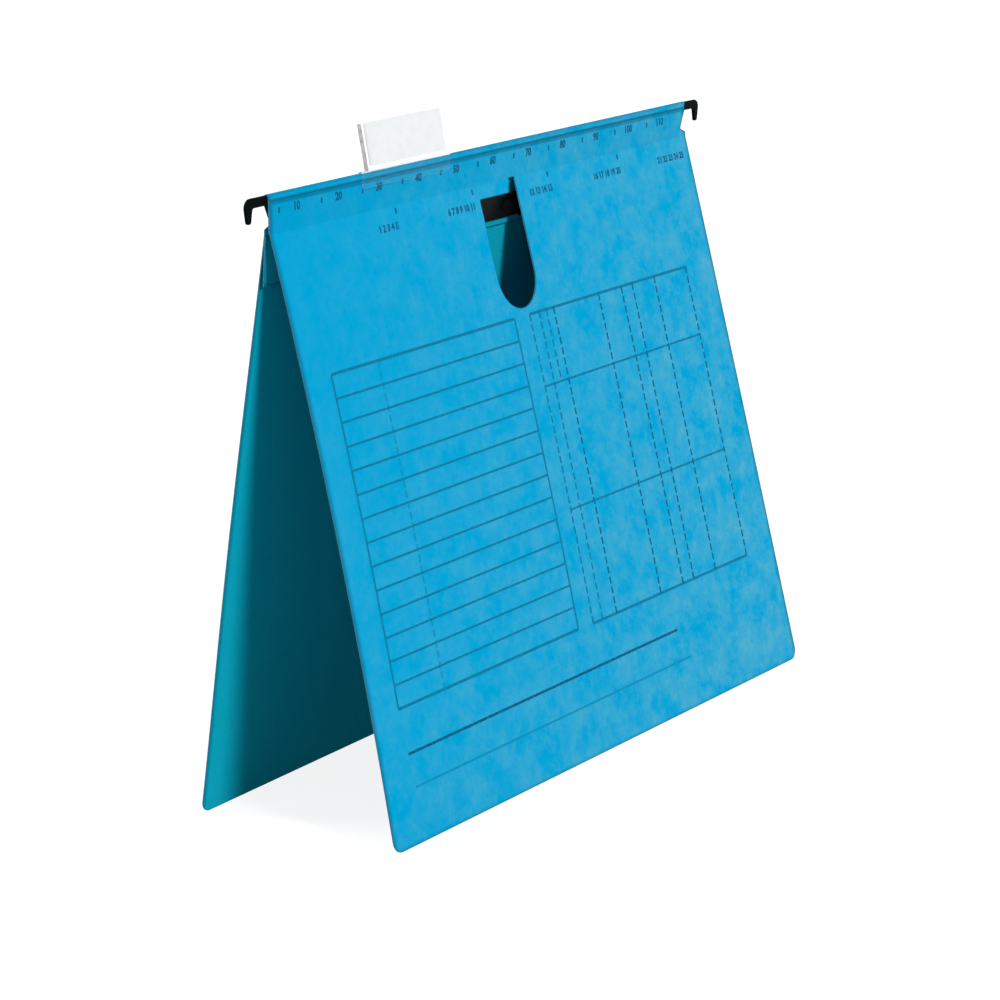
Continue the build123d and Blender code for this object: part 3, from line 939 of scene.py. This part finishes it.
def clear_material():
    """Clear moulded plastic with faint marks of handling."""
    material, shader = paint("clear_moulding")
    place = shader.place()
    marks = shader.noise(place, 260.0, 3.0, 0.6)
    handled = shader.ranged(marks, 0.3, 0.7)
    colour = shader.mixed(handled, (0.93, 0.95, 0.96, 1.0), (0.98, 0.985, 0.99, 1.0))
    rough = shader.ranged(marks, 0.4, 0.75, 0.03, 0.14)
    glass = shader.add("BsdfPrincipled", {
        "Base Color": colour, "Roughness": rough, "IOR": 1.1, "Transmission Weight": 1.0,
        "Normal": shader.bump(marks, 0.04, 0.00005),
    }).outputs[0]
    open_air = shader.add("BsdfTransparent", {"Color": (0.97, 0.975, 0.98, 1.0)}).outputs[0]
    path = shader.add("LightPath").outputs
    passing = shader.maths("MAXIMUM", path["Is Shadow Ray"], path["Is Diffuse Ray"])
    surface = shader.add("MixShader", {0: passing, 1: glass, 2: open_air}).outputs[0]
    shader.add("OutputMaterial", {"Surface": surface})
    return material


def edge_reflection_material():
    """Opaque grey for the clear moulding's left end and top faces: a painted reflection for the clear
    plastic seen edge on.
    """
    material, shader = paint("clear_edge_painted_reflection")
    place = shader.place()
    marks = shader.noise(place, 420.0, 3.0, 0.6)
    edge_mottle = shader.ranged(marks, 0.35, 0.65)
    tone = shader.mixed(edge_mottle, (0.3, 0.29, 0.3, 1.0), (0.5, 0.48, 0.49, 1.0))
    rough = shader.ranged(marks, 0.3, 0.7, 0.4, 0.6)
    shader.surface(Base_Color=tone, Roughness=rough, Specular_IOR_Level=0.3,
                   Normal=shader.bump(marks, 0.2, 0.00005))
    return material


def card_material():
    """White label card with a paper grain."""
    material, shader = paint("label_paper")
    place = shader.place()
    grain = shader.noise(place, 1300.0, 3.0, 0.65)
    tone = shader.ranged(shader.noise(place, 90.0, 3.0), 0.3, 0.7)
    colour = shader.mixed(tone, (0.93, 0.925, 0.92, 1.0), (0.96, 0.955, 0.95, 1.0))
    rough = shader.ranged(grain, 0.3, 0.7, 0.7, 0.85)
    shader.surface(Base_Color=colour, Roughness=rough, Specular_IOR_Level=0.2,
                   Normal=shader.bump(grain, 0.12, 0.00003))
    return material


def shared(name, make, *given):
    """The material of that name, made once."""
    return bpy.data.materials.get(name) or make(*given)


def board_materials(board):
    """Materials of a sheet of board: its faces and its cut edge."""
    return [shared("recycled_board", board_material, board), shared("board_cut_edge", rim_material)]


def dress(node, material):
    """Gives a CAD piece its material."""
    frame["nodes"][node].data.materials.clear()
    frame["nodes"][node].data.materials.append(material)


# Operators


class FOLDER_OT_front_board(Operator):
    """Front board: the margin glued to the sleeve, the crease and the leaf with its thumb cut-out"""

    bl_idname = "folder.front_board"
    bl_label = "Front Board"

    def execute(self, context):
        settings = context.scene.file_folder
        board, cuts = settings.board, settings.cuts
        top = MARGIN_HIGH.z - FRONT_CREASE.z
        foot = board.front_length
        corners = [(notch_side(cuts, SEAM_DROP), -top, 0)]
        corners += [c for c in notch_corners(cuts, -MARGIN_HEIGHT, 1) if c[1] > -top]
        corners += [
            (HALF_WIDTH, foot, board.corner_radius),
            (-HALF_WIDTH, foot, board.corner_radius),
            (-HALF_WIDTH, -top, 0),
        ]
        rows = rows_between(-top, foot, board.mesh_step, crease_rows(board))
        piece = sheet("front_board", rounded(corners), [cutout_outline(cuts)], rows, board.mesh_step,
                      front_surface(board), board.thickness, board_materials(board))
        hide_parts("front_margin", "front_leaf")
        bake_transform(piece)
        return {"FINISHED"}


class FOLDER_OT_back_board(Operator):
    """Back board: the fold over the rail, the crease and the back leaf"""

    bl_idname = "folder.back_board"
    bl_label = "Back Board"

    def execute(self, context):
        settings = context.scene.file_folder
        board, cuts = settings.board, settings.cuts
        turn = pi * FOLD_RADIUS / 2 - FOLD_RADIUS
        leg_end = CREST - turn - (TOP - MARGIN_LOW.z)
        rear = notch_corners(cuts, -MARGIN_HEIGHT, -1)
        front = [(x, CREST - turn - (y + MARGIN_HEIGHT), r)
                 for x, y, r in notch_corners(cuts, -MARGIN_HEIGHT, 1)]
        corners = [(HALF_WIDTH, leg_end, 0)] + front[::-1] + [
            (HALF_WIDTH, board.back_length, board.corner_radius),
            (-HALF_WIDTH, board.back_length, board.corner_radius),
        ] + rear[::-1] + [(-HALF_WIDTH, leg_end, 0)]
        curve = [CREST + FOLD_RADIUS * pi * k / 16 for k in range(-8, 9)]
        dense = crease_rows(board) + curve
        rows = rows_between(leg_end, board.back_length, board.mesh_step, dense)
        piece = sheet("back_board", rounded(corners), [], rows, board.mesh_step,
                      back_surface(board), board.thickness, board_materials(board))
        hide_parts("rail_sleeve", "back_leaf")
        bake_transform(piece)
        return {"FINISHED"}


class FOLDER_OT_filing_flap(Operator):
    """Flap glued inside the back leaf, stepped off it and punched for the fastener"""

    bl_idname = "folder.filing_flap"
    bl_label = "Filing Flap"

    def execute(self, context):
        settings = context.scene.file_folder
        board, flap = settings.board, settings.flap
        lay = back_place(board)
        forward = Vector((0, -cos(board.back_lean), -sin(board.back_lean)))

        def bend(x, s):
            share = min(1, max(0, (s - flap.glue_end) / (flap.step_end - flap.glue_end)))
            rise = (1 - cos(pi * share)) / 2
            glued = 2 * board.thickness
            free = max(0, s - flap.step_end) / (flap.end - flap.step_end)
            end = max(0, abs(x) - flap.flat_half) / (HALF_WIDTH - flap.flat_half)
            depth = glued + (flap.front_depth - glued) * rise + flap.curl * free * end ** 2
            return lay(x, s, depth), forward

        outline = plate(0, (flap.start + flap.end) / 2, HALF_WIDTH, (flap.end - flap.start) / 2)
        bends = [flap.glue_end + (flap.step_end - flap.glue_end) * k / 6 for k in range(7)]
        rows = rows_between(flap.start, flap.end, board.mesh_step / 2, bends, flap.row_gap)
        holes = [circle(across, flap.hole_drop, flap.hole_diameter / 2)
                 for across in (-flap.hole_spacing / 2, flap.hole_spacing / 2)]
        # painted shade: the flap's front takes the inner side's shade tint
        piece = sheet("filing_flap_board", outline, holes, rows, board.mesh_step, bend, board.thickness,
                      board_materials(board), side=1)
        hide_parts("filing_flap")
        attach(piece, "back_cover")
        return {"FINISHED"}


class FOLDER_OT_form_print(Operator):
    """Ruled form on the front leaf: two tables, two writing lines and groups of plain numbers"""

    bl_idname = "folder.form_print"
    bl_label = "Form Print"

    def execute(self, context):
        settings = context.scene.file_folder
        ink = settings.ink
        form = Print(settings)
        left, right, top, foot = ink.left_table
        for k in range(ink.rows + 1):
            drop = top + (foot - top) * k / ink.rows
            width = ink.border_width if k in (0, ink.rows) else ink.line_width
            form.line((left, drop), (right, drop), width, "line_ink")
        for across in (left, right):
            form.line((across, top), (across, foot), ink.column_width, "line_ink")
        form.dashes((ink.left_column, top), (ink.left_column, foot), ink.column_width, "faint_ink")
        left, right, top, foot = ink.right_table
        for drop in (top, foot):
            form.line((left, drop), (right, drop), ink.border_width, "line_ink")
        for drop in ink.right_rows:
            form.line((left, drop), (right, drop), ink.line_width, "line_ink")
        for across in (*ink.right_columns, right):
            form.dashes((across, top), (across, foot), ink.column_width, "dark_ink")
        for across, end in ((left, foot), (ink.faint_column, foot), (ink.short_column, ink.right_rows[0])):
            form.dashes((across, top), (across, end), ink.column_width, "line_ink")
        left, right, drop = ink.upper_line
        form.line((left, drop), (right, drop), ink.strong_width, "dark_ink")
        left, right, drop = ink.lower_line
        form.line((left, drop), (right, drop), ink.line_width, "faint_ink")
        for across, words in zip(ink.group_places, GROUP_NUMBERS):
            form.number(words, across, ink.group_drop, ink.group_size, "dark_ink")
        for across in ink.group_ticks:
            form.tick(across, ink.tick_drop)
        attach(form.piece("form_print"), "front_cover")
        return {"FINISHED"}


class FOLDER_OT_index_print(Operator):
    """Row of ticks and plain numbers along the top margin"""

    bl_idname = "folder.index_print"
    bl_label = "Index Print"

    def execute(self, context):
        settings = context.scene.file_folder
        ink = settings.ink
        index = Print(settings)
        drop = ink.index_drop - MARGIN_HEIGHT
        for k in range(ink.index_count):
            across = ink.index_start + ink.index_pitch * k
            index.tick(across, drop)
            index.number(str(10 * (k + 1)), across + ink.index_shift, drop, ink.index_size, "dark_ink")
        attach(index.piece("index_print"), "rail_assembly")
        return {"FINISHED"}


class FOLDER_OT_rail_and_hooks(Operator):
    """Painted steel rail in the fold and the black hook at each of its ends"""

    bl_idname = "folder.rail_and_hooks"
    bl_label = "Rail and Hooks"

    def execute(self, context):
        settings = context.scene.file_folder
        hook, cuts = settings.hook, settings.cuts
        dress("suspension_rail", rail_material())
        material = black_material("hook_moulding", 0.45, 1600.0, 0.015)
        start = HALF_WIDTH - hook.shank_length
        shank_end = FOLD_RADIUS + hook.shank_height
        arm_end = hook.top_drop + hook.arm_height
        tip_end = hook.top_drop + hook.tip_height
        outer = HALF_WIDTH + hook.reach
        inner = outer - hook.tip_width
        middle = (FOLD_RADIUS + shank_end) / 2
        tip = inner + (hook.tip_width - hook.tip_end_width) / 2
        corners = [
            (start, FOLD_RADIUS, 0),
            (HALF_WIDTH + hook.side_gap, FOLD_RADIUS, 0),
            (HALF_WIDTH + hook.side_gap, hook.top_drop, 0),
            (outer, hook.top_drop, hook.shoulder_radius),
            (outer, arm_end, 0),
            (tip + hook.tip_end_width, tip_end, hook.tip_radius),
            (tip, tip_end, hook.tip_radius),
            (inner, arm_end, hook.throat_radius),
            (notch_side(cuts, arm_end) + hook.root_reach, arm_end, 0),
            (notch_side(cuts, shank_end) + hook.root_reach, shank_end, 0),
            (start, shank_end, 0),
            (start, middle + hook.key_root / 2, 0),
            (start + hook.key_length, middle + hook.key_end / 2, 0),
            (start + hook.key_length, middle - hook.key_end / 2, 0),
            (start, middle - hook.key_root / 2, 0),
        ]
        outline = rounded(corners, steps=8)
        for side, name in ((-1, "left_hook"), (1, "right_hook")):
            mesh = prism_mesh(name + "_moulding", outline, [], -hook.thickness / 2, hook.thickness / 2,
                              lambda a, b, c: Vector((side * a, RAIL_Y + c, TOP - b)), hook.edge)
            piece = finish_mesh(name + "_moulding", mesh, [material], MOULD_ANGLE)
            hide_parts(name)
            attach(piece, "rail_assembly")
        return {"FINISHED"}


class FOLDER_OT_fastener(Operator):
    """Black fastener in the back cover: strip with two tongues, compressor bar and two slides"""

    bl_idname = "folder.fastener"
    bl_label = "Fastener"

    def execute(self, context):
        settings = context.scene.file_folder
        board, flap, fastener = settings.board, settings.flap, settings.fastener
        material = black_material("fastener_moulding", 0.38, 2200.0, 0.05)
        dress("fastener_base", material)
        lay = back_place(board)
        middle = flap.hole_drop
        half, high = fastener.bar_length / 2, fastener.bar_width / 2
        outline = plate(0, middle, half, high, fastener.bar_radius)
        slots = [plate(across, middle, fastener.slot_width / 2, fastener.slot_height / 2)
                 for across in (-flap.hole_spacing / 2, flap.hole_spacing / 2)]
        back, front = fastener.bar_back, fastener.bar_back + fastener.bar_thickness
        mesh = prism_mesh("compressor_bar_strip", outline, slots, back, front, lay, fastener.bar_edge)
        work = bmesh.new()
        work.from_mesh(mesh)
        wide = fastener.foot_length / 2
        foot = half - fastener.bar_radius - wide
        for across in (-foot, foot):
            pad = plate(across, middle, wide, high, fastener.foot_radius)
            pad_mesh = prism_mesh("bar_foot", pad, [], flap.front_depth, back, lay, fastener.foot_edge)
            work.from_mesh(pad_mesh)
            bpy.data.meshes.remove(pad_mesh)
        work.to_mesh(mesh)
        work.free()
        piece = finish_mesh("compressor_bar_strip", mesh, [material], MOULD_ANGLE)
        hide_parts("compressor_bar")
        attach(piece, "back_cover")
        wall = fastener.slider_wall
        reach = high + fastener.slider_clearance
        depth = (fastener.slider_back + fastener.slider_front) / 2
        deep = (fastener.slider_front - fastener.slider_back) / 2
        outer = plate(middle, depth, reach + wall, deep, fastener.slider_radius)
        inner = plate(middle, depth, reach, deep - wall)
        half = fastener.slider_length / 2
        for side, name, body in ((-1, "left_slider", "left_lock"), (1, "right_slider", "right_lock")):
            place = side * fastener.slider_place
            mesh = prism_mesh(name + "_sleeve", outer, [inner], place - half, place + half,
                              lambda a, b, c: lay(c, a, b), fastener.slider_edge)
            piece = finish_mesh(name + "_sleeve", mesh, [material], MOULD_ANGLE)
            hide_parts(name)
            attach(piece, body)
        return {"FINISHED"}


class FOLDER_OT_tab(Operator):
    """Clear tab clipped over the top margin and the card label in its window"""

    bl_idname = "folder.tab"
    bl_label = "Tab and Label"

    def execute(self, context):
        tab = context.scene.file_folder.tab
        out = Vector((0, -cos(tab.lean), sin(tab.lean)))
        up = Vector((0, sin(tab.lean), cos(tab.lean)))
        seat = Vector((tab.place, RAIL_Y + tab.depth / 2 - tab.clip_front - tab.wall,
                       TOP + tab.clip_top + tab.wall / 2))

        def window(a, b, c):
            return seat + Vector((a, 0, 0)) + up * b + out * c

        def clip(a, b, c):
            return Vector((tab.place + c, RAIL_Y + a, TOP + b))

        def solid(mesh):
            obj = bpy.data.objects.new(mesh.name, mesh)
            context.scene.collection.objects.link(obj)
            return obj

        front, rear = tab.clip_front, tab.clip_rear
        wall, roof = tab.wall, tab.clip_top
        profile = [Vector(p) for p in (
            (-front - wall, -tab.front_lip), (-front, -tab.front_lip), (-front, roof), (rear, roof),
            (rear, -tab.rear_lip), (rear + wall, -tab.rear_lip), (rear + wall, roof + wall),
            (-front - wall, roof + wall),
        )]
        half = tab.width / 2
        outline = rounded([
            (-half, 0, 0), (half, 0, 0),
            (half, tab.height, tab.corner_radius), (-half, tab.height, tab.corner_radius),
        ])
        body = solid(prism_mesh("tab_window", outline, [], -tab.depth / 2, tab.depth / 2, window, tab.edge))
        rider = solid(prism_mesh("tab_clip", profile, [], -half - tab.tail, half, clip, tab.edge))
        closed, opened = -half + tab.end_wall, half + tab.pocket_past
        middle = tab.foot + tab.pocket_height / 2
        room = plate((closed + opened) / 2, middle, (opened - closed) / 2, tab.pocket_height / 2)
        gap = tab.pocket_gap / 2
        pocket = solid(prism_mesh("tab_pocket", room, [], -gap, gap, window, 0))
        for kind, other in (("UNION", rider), ("DIFFERENCE", pocket)):
            cut = body.modifiers.new(kind.lower(), "BOOLEAN")
            cut.operation = kind
            cut.object = other
            cut.solver = "EXACT"
        mesh = bpy.data.meshes.new_from_object(body.evaluated_get(context.evaluated_depsgraph_get()))
        for spare in (body, rider, pocket):
            bpy.data.meshes.remove(spare.data)
        left = seat.x - half
        top = tab.height - CLOSE
        # painted reflection: the left end and the top faces take the grey edge material
        for face in mesh.polygons:
            at_end = abs(face.center.x - left) < CLOSE and face.normal.x < -FACING
            face.material_index = int(at_end or up.dot(face.center - seat) > top)
        piece = finish_mesh("tab_moulding", mesh, [clear_material(), edge_reflection_material()], MOULD_ANGLE)
        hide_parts("tab_holder")
        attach(piece, "tab")
        card = plate(tab.end_wall / 2, middle, tab.label_width / 2, tab.label_height / 2, tab.label_radius)
        thick = tab.label_thickness / 2
        mesh = prism_mesh("label_card", card, [], -thick, thick, window, tab.label_edge)
        piece = finish_mesh("label_card", mesh, [card_material()], MOULD_ANGLE)
        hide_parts("tab_label")
        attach(piece, "label")
        return {"FINISHED"}


class FOLDER_OT_stage(Operator):
    """Pale floor, soft light and the camera"""

    bl_idname = "folder.stage"
    bl_label = "Stage"

    def execute(self, context):
        scene = context.scene
        stage = scene.file_folder.stage
        half = stage.floor_size / 2
        corners = [(*corner, 0) for corner in plate(0, 0, half, half)]
        mesh = bpy.data.meshes.new("floor")
        mesh.from_pydata(corners, [], [(0, 1, 2, 3)])
        floor = bpy.data.objects.new("floor", mesh)
        scene.collection.objects.link(floor)
        material, shader = paint("floor")
        seen = shader.shown()
        place = shader.place()
        tone = shader.mixed(shader.noise(place, 6.0), rgba(stage.floor_dark), rgba(stage.floor_pale))
        paper = shader.add("BsdfDiffuse", {"Color": tone}).outputs[0]
        glow = shader.add("Emission", {"Color": WHITE, "Strength": stage.floor_glow}).outputs[0]
        bright = shader.add("AddShader", {0: paper, 1: glow}).outputs[0]
        bounce = shader.add("BsdfDiffuse", {"Color": rgba(stage.floor_bounce)}).outputs[0]
        surface = shader.add("MixShader", {0: seen, 1: bounce, 2: bright}).outputs[0]
        shader.add("OutputMaterial", {"Surface": surface})
        mesh.materials.append(material)

        world = bpy.data.worlds.new("surroundings")
        shader = Shader(world)
        shown = shader.shown()
        dim = shader.add("Background", {"Color": WHITE, "Strength": stage.ambient}).outputs[0]
        white = shader.add("Background", {"Color": WHITE, "Strength": 1.0}).outputs[0]
        surface = shader.add("MixShader", {0: shown, 1: dim, 2: white}).outputs[0]
        shader.add("OutputWorld", {"Surface": surface})
        scene.world = world

        for name in ("key_light", "side_light", "back_light"):
            strength, turn, rise, spread = getattr(stage, name)
            light = bpy.data.lights.new(name, "SUN")
            light.energy = strength
            light.angle = radians(spread)
            obj = bpy.data.objects.new(name, light)
            scene.collection.objects.link(obj)
            a, e = radians(turn), radians(rise)
            source = Vector((-sin(a) * cos(e), -cos(a) * cos(e), sin(e)))
            obj.rotation_euler = source.to_track_quat("Z", "Y").to_euler()
            obj.location = source * stage.lamp_distance

        a, e = stage.azimuth, stage.elevation
        back = Vector((sin(a) * cos(e), -cos(a) * cos(e), sin(e)))
        right = Vector((cos(a), sin(a), 0))
        up = back.cross(right)
        target = Vector((0, RAIL_Y, TOP)) + right * stage.shift_right + up * stage.shift_up
        eye = target + back * stage.distance
        camera = bpy.data.cameras.new("camera")
        camera.lens = stage.lens
        camera.sensor_width = stage.sensor
        camera.clip_end = stage.sight
        obj = bpy.data.objects.new("camera", camera)
        scene.collection.objects.link(obj)
        turn = Matrix((right, up, back)).transposed().to_4x4()
        obj.matrix_world = Matrix.Translation(eye) @ turn
        scene.camera = obj
        scene.view_settings.view_transform = "Standard"
        return {"FINISHED"}


class FOLDER_PT_panel(Panel):
    """Lists the folder's build steps"""

    bl_idname = "FOLDER_PT_panel"
    bl_label = "File Folder"
    bl_space_type = "VIEW_3D"
    bl_region_type = "UI"
    bl_category = "File Folder"

    def draw(self, context):
        for step in STEPS:
            self.layout.operator(step.bl_idname)


STEPS = (
    FOLDER_OT_front_board,
    FOLDER_OT_back_board,
    FOLDER_OT_filing_flap,
    FOLDER_OT_form_print,
    FOLDER_OT_index_print,
    FOLDER_OT_rail_and_hooks,
    FOLDER_OT_fastener,
    FOLDER_OT_tab,
    FOLDER_OT_stage,
)
GROUPS = (
    BoardSettings, CutSettings, FlapSettings, FastenerSettings, HookSettings, TabSettings, PrintSettings,
    StageSettings, FolderSettings,
)


def register():
    for cls in GROUPS + STEPS + (FOLDER_PT_panel,):
        bpy.utils.register_class(cls)
    bpy.types.Scene.file_folder = PointerProperty(
        type=FolderSettings, name="File folder", description="Settings of the hanging file folder")


def unregister():
    del bpy.types.Scene.file_folder
    for cls in reversed(GROUPS + STEPS + (FOLDER_PT_panel,)):
        bpy.utils.unregister_class(cls)


def main():
    register()
    bpy.ops.folder.front_board()
    bpy.ops.folder.back_board()
    bpy.ops.folder.filing_flap()
    bpy.ops.folder.form_print()
    bpy.ops.folder.index_print()
    bpy.ops.folder.rail_and_hooks()
    bpy.ops.folder.fastener()
    bpy.ops.folder.tab()
    bpy.ops.folder.stage()


if __name__ == "__main__":
    main()
